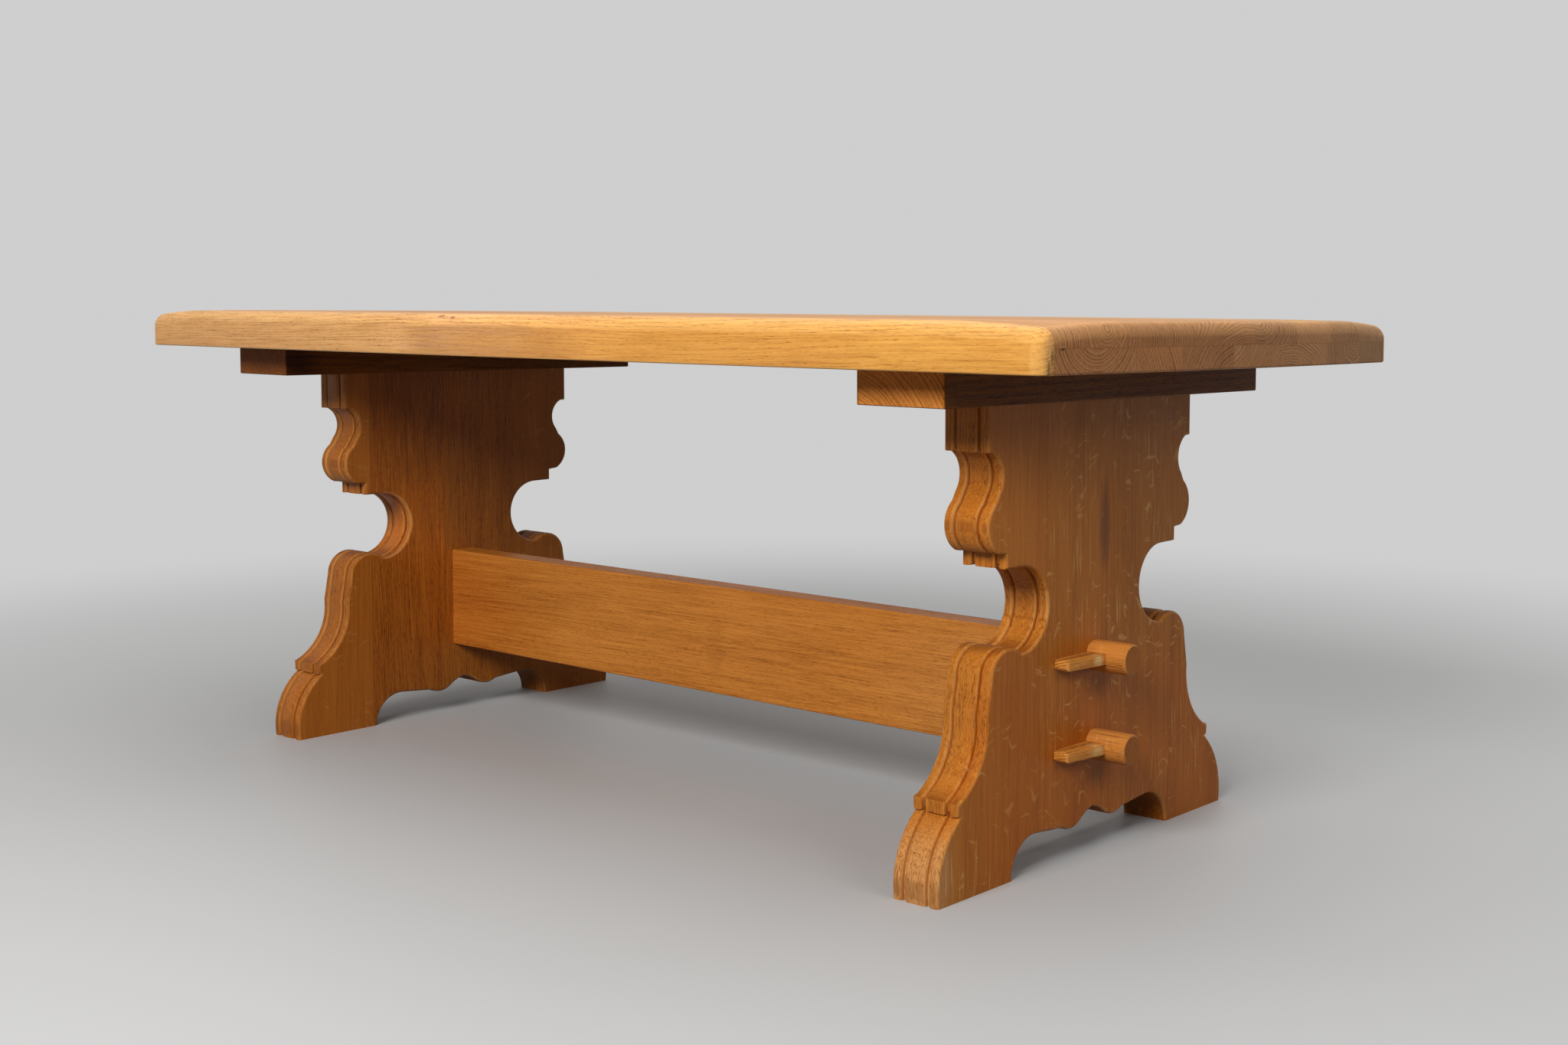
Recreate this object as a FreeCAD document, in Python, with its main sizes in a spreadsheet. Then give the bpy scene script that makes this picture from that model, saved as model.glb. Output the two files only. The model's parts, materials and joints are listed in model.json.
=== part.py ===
import FreeCAD, Part
import os

import Sketcher

os.makedirs("parts", exist_ok=True)
doc = FreeCAD.newDocument("trestle_table")
sheet = doc.addObject("Spreadsheet::Sheet", "sizes")
Vector = FreeCAD.Vector

# Driving dimensions in millimetres: name, value, what it measures
driving_dimensions = [
    ("table_length", 2000, "tabletop, end to end at the middle"),
    ("table_width", 900, "tabletop, edge to edge at the middle"),
    ("table_height", 746, "floor to tabletop"),
    ("top_thickness", 62, "both layers of the tabletop"),
    ("upper_layer", 31, "upper boards of the tabletop"),
    ("edge_strip", 38, "strip along each long side"),
    ("side_bow", 17, "outward bow of each long side"),
    ("end_bow", 15, "outward bow of each end"),
    ("corner_round", 24, "corners of the tabletop, seen from above"),
    ("top_round", 20, "upper edge of the tabletop"),
    ("under_round", 3, "lower edge of the tabletop"),
    ("bearer_length", 750, "bearer, across the table"),
    ("bearer_width", 145, "bearer, along the table"),
    ("bearer_thickness", 47, "bearer, between panel and tabletop"),
    ("bearer_ease", 2, "eased edges of the bearer"),
    ("end_overhang", 240, "tabletop beyond the outer face of a panel"),
    ("panel_thickness", 76, "trestle panel"),
    ("head_width", 486, "panel under its bearer"),
    ("waist_width", 224, "panel at its narrowest"),
    ("foot_spread", 684, "panel on the floor"),
    ("arch_width", 374, "gap between the feet on the floor"),
    ("arch_rise", 51, "height of the arch between the feet"),
    ("reed_width", 15.5, "outer reeds on the scrolled edges"),
    ("groove_width", 5.5, "groove between two reeds"),
    ("groove_depth", 6, "groove between two reeds"),
    ("stretcher_base", 126, "floor to the stretcher"),
    ("stretcher_depth", 177, "stretcher, upright"),
    ("stretcher_thickness", 46, "stretcher, across the table"),
    ("stretcher_ease", 2.5, "eased long edges of the stretcher"),
    ("tenon_diameter", 44, "round tenons on the stretcher"),
    ("tenon_inset", 25.5, "tenon's axis to the stretcher's upper or lower edge"),
    ("tenon_projection", 64, "tenon beyond the panel"),
    ("tenon_chamfer", 3, "tenon end"),
    ("tenon_clearance", 0.2, "tenon in its bore, all round"),
    ("wedge_length", 144, "wedge, tip to butt"),
    ("wedge_height", 14, "wedge, upright"),
    ("wedge_tip", 23, "width of the wedge at its tip"),
    ("wedge_butt", 42, "width of the wedge at its butt"),
    ("wedge_reach", 98, "tip of the wedge beyond the tenon's axis"),
    ("wedge_chamfer", 2, "ends of the wedge"),
    ("wedge_clearance", 0.2, "above and below the wedge in its slot"),
    ("slot_relief", 4, "slot inside the panel's face, so that the wedge draws"),
    ("dowel_diameter", 16, "dowels between panel and bearer"),
    ("dowel_pitch", 150, "between neighbouring dowels"),
    ("dowel_sink", 36, "dowel in the panel"),
    ("dowel_rise", 24, "dowel in the bearer"),
    ("peg_diameter", 20, "pegs that locate the tabletop"),
    ("peg_inset", 75, "peg's axis to the end of its bearer"),
    ("peg_sink", 24, "peg in the bearer"),
    ("peg_rise", 20, "peg in the tabletop"),
    ("peg_clearance", 0.3, "peg in its socket in the tabletop"),
    ("cut_overrun", 20, "how far each cutting tool runs past the wood"),
]
for row, (alias, value, meaning) in enumerate(driving_dimensions, start=1):
    sheet.set(f"A{row}", meaning)
    sheet.set(f"B{row}", str(value))
    sheet.setAlias(f"B{row}", alias)
doc.recompute()

# Places that several pieces share, as expressions on the sheet
half_length = "sizes.table_length / 2"
half_width = "sizes.table_width / 2"
strip_seam = "(sizes.table_width / 2 - sizes.edge_strip)"
top_under = "(sizes.table_height - sizes.top_thickness)"
layer_seam = "(sizes.table_height - sizes.upper_layer)"
panel_height = "(sizes.table_height - sizes.top_thickness - sizes.bearer_thickness)"
panel_face = "(sizes.table_length / 2 - sizes.end_overhang)"
panel_inside = "(sizes.table_length / 2 - sizes.end_overhang - sizes.panel_thickness)"
panel_middle = "(sizes.table_length / 2 - sizes.end_overhang - sizes.panel_thickness / 2)"
foot_reach = "(sizes.foot_spread / 2)"
stretcher_middle = "(sizes.stretcher_base + sizes.stretcher_depth / 2)"
tenon_offset = "(sizes.stretcher_depth / 2 - sizes.tenon_inset)"
tenon_heights = {
    "upper": f"{stretcher_middle} + {tenon_offset}",
    "lower": f"{stretcher_middle} - {tenon_offset}",
}
overrun = "sizes.cut_overrun"
half_turn = FreeCAD.Rotation(Vector(0, 0, 1), 180)
along_length = FreeCAD.Rotation(Vector(0, 1, 0), 90)

# Seams between boards, from the front of the table to the rear
upper_seam_shares = [-1, -0.667, -0.316, 0.036, 0.313, 0.570, 0.789, 1]
lower_seam_shares = [-1, -0.626, -0.386, -0.097, 0.201, 0.534, 0.801, 1]
# Seams between the panel's boards, as shares of half the head's width, and where the waist parts them
waist_height_share = 0.567
panel_seam_shares = [-0.477, 0.160, 0.798]

# Half of the panel's scrolled edge, from the bearer down to the floor. Each point is the
# width it follows, its share of half that width and its share of the panel's height.
scroll_shares = [
    [("head_width", 1.000, 1.000), ("head_width", 1.000, 0.901)],
    [("head_width", 1.000, 0.901), ("head_width", 0.959, 0.900)],
    [("head_width", 0.959, 0.900), ("head_width", 0.879, 0.862), ("head_width", 0.910, 0.816)],
    [("head_width", 0.910, 0.816), ("head_width", 0.938, 0.797)],
    [("head_width", 0.938, 0.797), ("head_width", 1.004, 0.744), ("head_width", 0.914, 0.692)],
    [("head_width", 0.914, 0.692), ("head_width", 0.840, 0.689)],
    [("head_width", 0.840, 0.689), ("head_width", 0.840, 0.658)],
    [("head_width", 0.840, 0.658), ("head_width", 0.698, 0.657)],
    [("head_width", 0.698, 0.657), ("waist_width", 1.000, 0.567), ("foot_spread", 0.496, 0.477)],
    [("foot_spread", 0.496, 0.477), ("foot_spread", 0.605, 0.491), ("foot_spread", 0.690, 0.432)],
    [("foot_spread", 0.690, 0.432), ("foot_spread", 0.714, 0.358)],
    [("foot_spread", 0.714, 0.358), ("foot_spread", 0.757, 0.259), ("foot_spread", 0.877, 0.201)],
    [("foot_spread", 0.877, 0.201), ("foot_spread", 0.889, 0.200)],
    [("foot_spread", 0.889, 0.200), ("foot_spread", 0.886, 0.173)],
    [("foot_spread", 0.886, 0.173), ("foot_spread", 0.874, 0.171)],
    [("foot_spread", 0.874, 0.171), ("foot_spread", 0.968, 0.110), ("foot_spread", 1.000, 0.000)],
]
# Half of the arch between the feet, as shares of half its width and of its rise
arch_shares = [
    [(1.000, 0.000), (0.925, 0.706), (0.727, 1.020)],
    [(0.727, 1.020), (0.385, 0.905)],
    [(0.385, 0.905), (0.262, 0.800), (0.160, 0.940)],
    [(0.160, 0.940), (0.080, 1.118), (0.000, 1.216)],
]


def size(alias):
    return float(sheet.get(alias))


def bind(made, bindings):
    for path, expression in bindings.items():
        made.setExpression(path, expression)
    return made


def place(made, x, y, z, turn=None):
    if turn:
        made.Placement = FreeCAD.Placement(Vector(), turn)
    return bind(made, {"Placement.Base.x": x, "Placement.Base.y": y, "Placement.Base.z": z})


def block(name, low, high):
    made = doc.addObject("Part::Box", name)
    spans = [f"({top}) - ({bottom})" for bottom, top in zip(low, high)]
    bind(made, dict(zip(("Length", "Width", "Height"), spans)))
    return place(made, *low)


def rod(name, radius, length, x, y, z, turn=None):
    made = doc.addObject("Part::Cylinder", name)
    bind(made, {"Radius": radius, "Height": length})
    return place(made, x, y, z, turn)


def group(name, members):
    made = doc.addObject("Part::Compound", name)
    made.Links = members
    return made


def combine(kind, name, base, tool):
    made = doc.addObject(f"Part::{kind}", name)
    made.Base = base
    made.Tool = tool
    return made


def extrude(name, face, length):
    made = doc.addObject("Part::Extrusion", name)
    made.Base = face
    made.DirMode = "Custom"
    made.Dir = Vector(1, 0, 0)
    made.Solid = True
    return bind(made, {"LengthFwd": length})


def origin_plane(body, role):
    return [feature for feature in body.Origin.OriginFeatures if feature.Role == role][0]


def sketch_on(body, role, name):
    sketch = body.newObject("Sketcher::SketchObject", name)
    sketch.AttachmentSupport = [(origin_plane(body, role), "")]
    sketch.MapMode = "FlatFace"
    return sketch


def constrain(sketch, expression, *definition):
    index = sketch.addConstraint(Sketcher.Constraint(*definition))
    sketch.setExpression(f"Constraints[{index}]", expression)


def rectangle(sketch, wide, high):
    reach, rise = size(wide) / 2, size(high) / 2
    corners = [Vector(-reach, -rise), Vector(reach, -rise), Vector(reach, rise), Vector(-reach, rise)]
    for start, end in zip(corners, corners[1:] + corners[:1]):
        sketch.addGeometry(Part.LineSegment(start, end))
    for side in range(4):
        sketch.addConstraint(Sketcher.Constraint("Coincident", side, 2, (side + 1) % 4, 1))
        sketch.addConstraint(Sketcher.Constraint("Vertical" if side % 2 else "Horizontal", side))
    sketch.addConstraint(Sketcher.Constraint("Symmetric", 0, 1, 2, 1, -1, 1))
    constrain(sketch, f"sizes.{wide}", "DistanceX", 0, 1, 0, 2, size(wide))
    constrain(sketch, f"sizes.{high}", "DistanceY", 1, 1, 1, 2, size(high))


def edge_names(shape, wanted):
    return [f"Edge{number}" for number, edge in enumerate(shape.Edges, start=1) if wanted(edge.BoundBox)]


def soften(body, kind, name, base, wanted, measure, expression):
    doc.recompute()
    made = body.newObject(f"PartDesign::{kind}", name)
    made.Base = (base, edge_names(base.Shape, wanted))
    return bind(made, {measure: expression})


# Tabletop blank: a slab with four bowed sides, its corners and edges rounded
def tabletop_blank():
    body = doc.addObject("PartDesign::Body", "tabletop_blank")
    sketch = sketch_on(body, "XY_Plane", "tabletop_plan")
    end_reach, side_reach = size("table_length") / 2, size("table_width") / 2
    right, rear = end_reach - size("end_bow"), side_reach - size("side_bow")
    corners = [Vector(right, rear), Vector(-right, rear), Vector(-right, -rear), Vector(right, -rear)]
    middles = [Vector(0, side_reach), Vector(-end_reach, 0), Vector(0, -side_reach), Vector(end_reach, 0)]
    for start, middle, end in zip(corners, middles, corners[1:] + corners[:1]):
        sketch.addGeometry(Part.Arc(start, middle, end))
    for arc in range(4):
        sketch.addConstraint(Sketcher.Constraint("Coincident", arc, 2, (arc + 1) % 4, 1))
    sketch.addConstraint(Sketcher.Constraint("Symmetric", 0, 1, 0, 2, -2))
    sketch.addConstraint(Sketcher.Constraint("Symmetric", 1, 1, 1, 2, -1))
    sketch.addConstraint(Sketcher.Constraint("Symmetric", 2, 1, 2, 2, -2))
    corner_x = f"({half_length} - sizes.end_bow)"
    corner_y = f"({half_width} - sizes.side_bow)"
    constrain(sketch, corner_x, "DistanceX", -1, 1, 0, 1, right)
    constrain(sketch, corner_y, "DistanceY", -1, 1, 0, 1, rear)
    bows = [(corner_x, "sizes.side_bow"), (corner_y, "sizes.end_bow")] * 2
    for arc, (reach, bow) in enumerate(bows):
        radius = f"({reach} ^ 2 + {bow} ^ 2) / (2 * {bow})"
        constrain(sketch, radius, "Radius", arc, sketch.Geometry[arc].Radius)
    slab = bind(body.newObject("PartDesign::Pad", "tabletop_slab"), {"Length": "sizes.top_thickness"})
    slab.Profile = sketch
    thick = size("top_thickness")
    corner = soften(body, "Fillet", "tabletop_corners", slab, lambda box: box.ZLength > thick / 2,
                    "Radius", "sizes.corner_round")
    upper = soften(body, "Fillet", "tabletop_upper_edge", corner, lambda box: box.ZMin > thick / 2,
                   "Radius", "sizes.top_round")
    soften(body, "Fillet", "tabletop_lower_edge", upper, lambda box: box.ZMax < size("under_round"),
           "Radius", "sizes.under_round")
    return place(body, "0", "0", top_under)


# Pegs, dowels and their bores, on both trestles
def upright_rods(name, radius, base, length, offsets):
    rods = []
    for x in (panel_middle, f"-{panel_middle}"):
        for y in offsets:
            rods.append(rod(f"{name}_{len(rods) + 1}", radius, length, x, y, base))
    return group(name, rods)


dowel_radius = "sizes.dowel_diameter / 2"
dowel_offsets = ["-sizes.dowel_pitch", "0", "sizes.dowel_pitch"]
dowel_base = f"{panel_height} - sizes.dowel_sink"
dowel_length = "sizes.dowel_sink + sizes.dowel_rise"
head_dowels = upright_rods("head_dowels", dowel_radius, dowel_base, dowel_length, dowel_offsets)

peg_radius = "sizes.peg_diameter / 2"
peg_offset = "(sizes.bearer_length / 2 - sizes.peg_inset)"
peg_offsets = [f"-{peg_offset}", peg_offset]
peg_base = f"{top_under} - sizes.peg_sink"
peg_length = "sizes.peg_sink + sizes.peg_rise"
locating_pegs = upright_rods("locating_pegs", peg_radius, peg_base, peg_length, peg_offsets)
peg_sockets = upright_rods("peg_sockets", f"{peg_radius} + sizes.peg_clearance", peg_base,
                           f"{peg_length} + sizes.peg_clearance", peg_offsets)

nodes = {"head_dowels": head_dowels, "locating_pegs": locating_pegs}

# Tabletop boards, sawn out of the blank
socketed_blank = combine("Cut", "socketed_blank", tabletop_blank(), peg_sockets)


def top_piece(name, front, rear, bottom, top):
    low = (f"-{half_length} - {overrun}", front, bottom)
    high = (f"{half_length} + {overrun}", rear, top)
    nodes[name] = combine("Common", name, socketed_blank, block(f"{name}_stock", low, high))


slab_low, slab_high = f"{top_under} - {overrun}", f"sizes.table_height + {overrun}"
top_piece("front_edge_strip", f"-{half_width} - {overrun}", f"-{strip_seam}", slab_low, slab_high)
top_piece("rear_edge_strip", strip_seam, f"{half_width} + {overrun}", slab_low, slab_high)
layers = [
    ("upper_board", upper_seam_shares, layer_seam, slab_high),
    ("lower_board", lower_seam_shares, slab_low, layer_seam),
]
for layer_name, seam_shares, bottom, top in layers:
    seams = [f"{share} * {strip_seam}" for share in seam_shares]
    for number, (front, rear) in enumerate(zip(seams, seams[1:]), start=1):
        top_piece(f"{layer_name}_{number}", front, rear, bottom, top)


# Bearers, one across the head of each trestle
def bearer(name, x):
    body = doc.addObject("PartDesign::Body", f"{name}_stock")
    sketch = sketch_on(body, "XY_Plane", f"{name}_plan")
    rectangle(sketch, "bearer_width", "bearer_length")
    plank = bind(body.newObject("PartDesign::Pad", f"{name}_plank"), {"Length": "sizes.bearer_thickness"})
    plank.Profile = sketch
    thick = size("bearer_thickness")
    soften(body, "Fillet", f"{name}_edges", plank, lambda box: box.ZMin < thick / 2,
           "Radius", "sizes.bearer_ease")
    place(body, x, "0", panel_height)
    pegged = combine("Cut", f"{name}_pegged", body, locating_pegs)
    nodes[name] = combine("Cut", name, pegged, head_dowels)


bearer("right_bearer", panel_middle)
bearer("left_bearer", f"-{panel_middle}")


# Trestle panel outline, seen along the table
def outline_edge(points):
    if len(points) == 2:
        return Part.LineSegment(*points).toShape()
    return Part.Arc(*points).toShape()


def both_sides(strokes):
    mirrored = [[Vector(point.x, -point.y, point.z) for point in stroke] for stroke in strokes]
    return [outline_edge(stroke) for stroke in strokes + mirrored]


def scroll_strokes():
    tall = size("table_height") - size("top_thickness") - size("bearer_thickness")
    return [
        [Vector(0, share * size(width) / 2, height_share * tall) for width, share, height_share in stroke]
        for stroke in scroll_shares
    ]


def outline_face(name, edges):
    made = doc.addObject("Part::Feature", name)
    made.Shape = Part.Face(Part.Wire(Part.__sortEdges__(edges)))
    return made


def level_edge(point):
    return outline_edge([point, Vector(point.x, -point.y, point.z)])


def panel_face_outline():
    reach, rise = size("arch_width") / 2, size("arch_rise")
    arch = [[Vector(0, y * reach, z * rise) for y, z in stroke] for stroke in arch_shares]
    scroll = scroll_strokes()
    head, toe, heel = scroll[0][0], scroll[-1][-1], arch[0][0]
    edges = both_sides(scroll + [[toe, heel]] + arch)
    return outline_face("panel_outline", edges + [level_edge(head)])


# The same outline without its arch, run past floor and bearer, which guides the grooves
def groove_outline():
    past = Vector(0, 0, size("cut_overrun"))
    scroll = scroll_strokes()
    head, toe = scroll[0][0], scroll[-1][-1]
    edges = both_sides([[head + past, head]] + scroll + [[toe, toe - past]])
    return outline_face("groove_guide", edges + [level_edge(head + past), level_edge(toe - past)])


def reeded_panel():
    panel = extrude("panel_stock", panel_face_outline(), "sizes.panel_thickness")
    place(panel, panel_inside, "0", "0")
    inset = doc.addObject("Part::Offset2D", "groove_floor")
    inset.Source = groove_outline()
    bind(inset, {"Value": "-sizes.groove_depth"})
    core = extrude("groove_core", inset, "sizes.panel_thickness")
    place(core, panel_inside, "0", "0")
    starts = {
        "inner": f"{panel_inside} + sizes.reed_width",
        "outer": f"{panel_face} - sizes.reed_width - sizes.groove_width",
    }
    reeded = panel
    for name, start in starts.items():
        low = (start, f"-{foot_reach} - {overrun}", f"-{overrun}")
        high = (f"{start} + sizes.groove_width", f"{foot_reach} + {overrun}", f"{panel_height} + {overrun}")
        ring = combine("Cut", f"{name}_groove", block(f"{name}_groove_stock", low, high), core)
        reeded = combine("Cut", f"{name}_reeded", reeded, ring)
    return reeded


# Panels, bored for the tenons and dowels and parted into their boards
def bored_panel():
    bore_radius = "sizes.tenon_diameter / 2 + sizes.tenon_clearance"
    bores = [
        rod(f"{level}_tenon_bore", bore_radius, f"sizes.panel_thickness + 2 * {overrun}",
            f"{panel_inside} - {overrun}", "0", height, along_length)
        for level, height in tenon_heights.items()
    ]
    bored = combine("Cut", "bored_panel", reeded_panel(), group("tenon_bores", bores))
    return combine("Cut", "dowelled_panel", bored, head_dowels)


def trestle_boards(panel):
    front_seam, middle_seam, rear_seam = [f"{share} * sizes.head_width / 2" for share in panel_seam_shares]
    front, rear = f"-{foot_reach} - {overrun}", f"{foot_reach} + {overrun}"
    floor, head = f"-{overrun}", f"{panel_height} + {overrun}"
    waist = f"{waist_height_share} * {panel_height}"
    # Each board's name on the right trestle, on the left one, and its stock
    boards = [
        ("front_ear", "rear_ear", front, front_seam, waist, head),
        ("front_foot", "rear_foot", front, front_seam, floor, waist),
        ("front_board", "rear_board", front_seam, middle_seam, floor, head),
        ("rear_board", "front_board", middle_seam, rear_seam, floor, head),
        ("rear_ear", "front_ear", rear_seam, rear, waist, head),
        ("rear_foot", "front_foot", rear_seam, rear, floor, waist),
    ]
    for right_name, left_name, low_y, high_y, low_z, high_z in boards:
        low = (f"{panel_inside} - {overrun}", low_y, low_z)
        high = (f"{panel_face} + {overrun}", high_y, high_z)
        stock = block(f"{right_name}_stock", low, high)
        for name, turn in ((f"right_{right_name}", None), (f"left_{left_name}", half_turn)):
            nodes[name] = combine("Common", name, panel, stock)
            if turn:
                nodes[name].Placement = FreeCAD.Placement(Vector(), turn)


trestle_boards(bored_panel())


# A wedge's own shape, also used for its slot: thin tip towards the front, one face against the panel
def wedge_solid(name, inside, spare):
    made = doc.addObject("Part::Wedge", name)
    half_height = f"(sizes.wedge_height / 2 + {spare})"
    return bind(made, {
        "Ymin": "-sizes.wedge_reach", "Ymax": "sizes.wedge_length - sizes.wedge_reach",
        "Xmin": inside, "Xmax": "sizes.wedge_tip",
        "X2min": inside, "X2max": "sizes.wedge_butt",
        "Zmin": f"-{half_height}", "Zmax": half_height,
        "Z2min": f"-{half_height}", "Z2max": half_height,
    })


slots = []
for side, face, turn in (("right", panel_face, None), ("left", f"-{panel_face}", half_turn)):
    for level, height in tenon_heights.items():
        name = f"{side}_{level}_wedge"
        slot = wedge_solid(f"{name}_slot", "-sizes.slot_relief", "sizes.wedge_clearance")
        slots.append(place(slot, face, "0", height, turn))
        stock = place(wedge_solid(f"{name}_stock", "0", "0"), face, "0", height, turn)
        doc.recompute()
        ends = [
            number for number, edge in enumerate(stock.Shape.Edges, start=1)
            if edge.BoundBox.YLength < size("wedge_chamfer")
        ]
        nodes[name] = doc.addObject("Part::Chamfer", name)
        nodes[name].Base = stock
        nodes[name].Edges = [(number, size("wedge_chamfer"), size("wedge_chamfer")) for number in ends]


# Stretcher: a plank between the panels, with two tenons cut on each end
def stretcher():
    body = doc.addObject("PartDesign::Body", "stretcher_stock")
    section = sketch_on(body, "YZ_Plane", "stretcher_section")
    rectangle(section, "stretcher_thickness", "stretcher_depth")
    plank = bind(body.newObject("PartDesign::Pad", "stretcher_plank"), {"Length": f"2 * {panel_inside}"})
    plank.Profile = section
    plank.SideType = "Symmetric"
    soften(body, "Fillet", "stretcher_edges", plank, lambda box: box.XLength > size("stretcher_depth"),
           "Radius", "sizes.stretcher_ease")
    circles = sketch_on(body, "YZ_Plane", "tenon_section")
    bind(circles, {"AttachmentOffset.Base.z": panel_inside})
    offset = size("stretcher_depth") / 2 - size("tenon_inset")
    for index, centre in enumerate((Vector(0, offset), Vector(0, -offset))):
        circles.addGeometry(Part.Circle(centre, Vector(0, 0, 1), size("tenon_diameter") / 2))
        constrain(circles, "sizes.tenon_diameter", "Diameter", index, size("tenon_diameter"))
    circles.addConstraint(Sketcher.Constraint("PointOnObject", 0, 3, -2))
    circles.addConstraint(Sketcher.Constraint("Symmetric", 0, 3, 1, 3, -1, 1))
    constrain(circles, f"2 * {tenon_offset}", "DistanceY", 1, 3, 0, 3, 2 * offset)
    tenons = body.newObject("PartDesign::Pad", "right_tenons")
    tenons.Profile = circles
    bind(tenons, {"Length": "sizes.panel_thickness + sizes.tenon_projection"})
    doc.recompute()
    mirrored = body.newObject("PartDesign::Mirrored", "left_tenons")
    mirrored.Originals = [tenons]
    mirrored.MirrorPlane = (origin_plane(body, "YZ_Plane"), [""])
    body.Tip = mirrored
    face = size("table_length") / 2 - size("end_overhang")
    soften(body, "Chamfer", "tenon_ends", mirrored, lambda box: max(box.XMin, -box.XMax) > face,
           "Size", "sizes.tenon_chamfer")
    place(body, "0", "0", stretcher_middle)
    nodes["stretcher"] = combine("Cut", "stretcher", body, group("wedge_slots", slots))


stretcher()

doc.recompute()
for made in doc.Objects:
    if "Invalid" in made.State or "Error" in made.State:
        raise RuntimeError(f"{made.Label} failed: {made.State}")
group_counts = {"head_dowels": 6, "locating_pegs": 4}
for name, made in nodes.items():
    made.Label = name
    shape = made.Shape
    if shape.isNull() or not shape.isValid():
        raise RuntimeError(f"{name} has no valid shape")
    if len(shape.Solids) != group_counts.get(name, 1):
        raise RuntimeError(f"{name} has {len(shape.Solids)} solids")
for name, made in nodes.items():
    made.Shape.exportStep(f"parts/{name}.step")
    print(f"{name}: {made.Shape.Volume:.0f} mm3")
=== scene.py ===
import json
import math

import bmesh
import bpy
from mathutils import Euler, Matrix, Vector

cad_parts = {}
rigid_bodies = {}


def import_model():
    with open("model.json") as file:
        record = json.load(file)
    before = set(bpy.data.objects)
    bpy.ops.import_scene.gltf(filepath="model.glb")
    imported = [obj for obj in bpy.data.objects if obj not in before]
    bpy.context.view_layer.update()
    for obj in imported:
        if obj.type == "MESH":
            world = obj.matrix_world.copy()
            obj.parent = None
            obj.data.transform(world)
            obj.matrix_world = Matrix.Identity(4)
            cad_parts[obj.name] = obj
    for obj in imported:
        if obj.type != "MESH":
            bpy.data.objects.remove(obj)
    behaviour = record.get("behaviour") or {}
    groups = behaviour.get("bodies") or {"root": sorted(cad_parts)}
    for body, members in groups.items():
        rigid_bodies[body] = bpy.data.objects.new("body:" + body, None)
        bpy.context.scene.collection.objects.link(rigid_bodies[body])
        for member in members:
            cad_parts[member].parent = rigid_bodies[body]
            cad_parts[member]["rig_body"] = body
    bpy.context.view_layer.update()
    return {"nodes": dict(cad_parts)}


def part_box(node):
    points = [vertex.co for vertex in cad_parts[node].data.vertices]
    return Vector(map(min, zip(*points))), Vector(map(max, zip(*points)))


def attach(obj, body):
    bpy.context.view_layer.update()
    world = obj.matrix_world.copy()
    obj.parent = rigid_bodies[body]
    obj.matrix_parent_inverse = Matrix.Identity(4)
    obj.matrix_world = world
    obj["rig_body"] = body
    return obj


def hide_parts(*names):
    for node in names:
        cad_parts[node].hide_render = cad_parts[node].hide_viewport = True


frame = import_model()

scene = bpy.context.scene
scene.view_settings.view_transform = "Standard"
print("frame loaded:", len(frame["nodes"]), "pieces of wood")

mixSockets = {"factor": 0, "under": 6, "over": 7, "result": 2}
noiseRoughness = 0.55
noiseMiddle = 0.5


class Wire:
    # one socket of a node tree; sums on wires add Math nodes
    def __init__(self, tree, socket=None):
        self.tree = tree
        self.socket = socket

    def add(self, kind, settings=None, inputs=None, output=0):
        node = self.tree.nodes.new(kind)
        for name, value in (settings or {}).items():
            if name == "stops":
                ramp = node.color_ramp.elements
                for number, (position, colour) in enumerate(value):
                    stop = ramp[number] if number < len(ramp) else ramp.new(1)
                    stop.position = position
                    stop.color = (*colour, 1)
            else:
                setattr(node, name, value)
        for name, value in (inputs or {}).items():
            if isinstance(value, Wire):
                self.tree.links.new(value.socket, node.inputs[name])
            else:
                node.inputs[name].default_value = value
        return Wire(self.tree, node.outputs[output] if node.outputs else None)

    def maths(self, operation, left, right=0.0):
        return self.add("ShaderNodeMath", {"operation": operation}, {0: left, 1: right})

    def __add__(self, other):
        return self.maths("ADD", self, other)

    def __radd__(self, other):
        return self.maths("ADD", other, self)

    def __sub__(self, other):
        return self.maths("SUBTRACT", self, other)

    def __rsub__(self, other):
        return self.maths("SUBTRACT", other, self)

    def __mul__(self, other):
        return self.maths("MULTIPLY", self, other)

    def __rmul__(self, other):
        return self.maths("MULTIPLY", other, self)

    def __truediv__(self, other):
        return self.maths("DIVIDE", self, other)

    def __rtruediv__(self, other):
        return self.maths("DIVIDE", other, self)


def vectorMaths(operation, first, *others, output=0):
    inputs = dict(enumerate((first, *others)))
    return first.add("ShaderNodeVectorMath", {"operation": operation}, inputs, output)


def noise(vector, scale, detail, output):
    return vector.add("ShaderNodeTexNoise", None, {
        "Vector": vectorMaths("MULTIPLY", vector, scale), "Scale": 1.0, "Detail": detail,
        "Roughness": noiseRoughness}, output)


def smooth(value, start, end):
    return value.add("ShaderNodeMapRange", {"interpolation_type": "SMOOTHSTEP"},
                     {"Value": value, "From Min": start, "From Max": end, "To Min": 0.0, "To Max": 1.0})


def blended(mask, under, over, how="MIX"):
    colours = [value if isinstance(value, Wire) else (*value, 1) for value in (under, over)]
    return mask.add(
        "ShaderNodeMix", {"data_type": "RGBA", "blend_type": how, "clamp_factor": True},
        {mixSockets["factor"]: mask, mixSockets["under"]: colours[0], mixSockets["over"]: colours[1]},
        mixSockets["result"])


def emptyTree(owner):
    owner.use_nodes = True
    owner.node_tree.nodes.clear()
    return Wire(owner.node_tree)


# Oak, solid through the wood: the grain runs along the first axis and the rings lie round the board's pith
grainTurns = {"X": Euler((0, 0, 0)), "Y": Euler((0, 0, -math.pi / 2)), "Z": Euler((0, math.pi / 2, 0))}
grainAxes = {"X": (1, 0, 0), "Y": (0, 1, 0), "Z": (0, 0, 1)}
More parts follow.
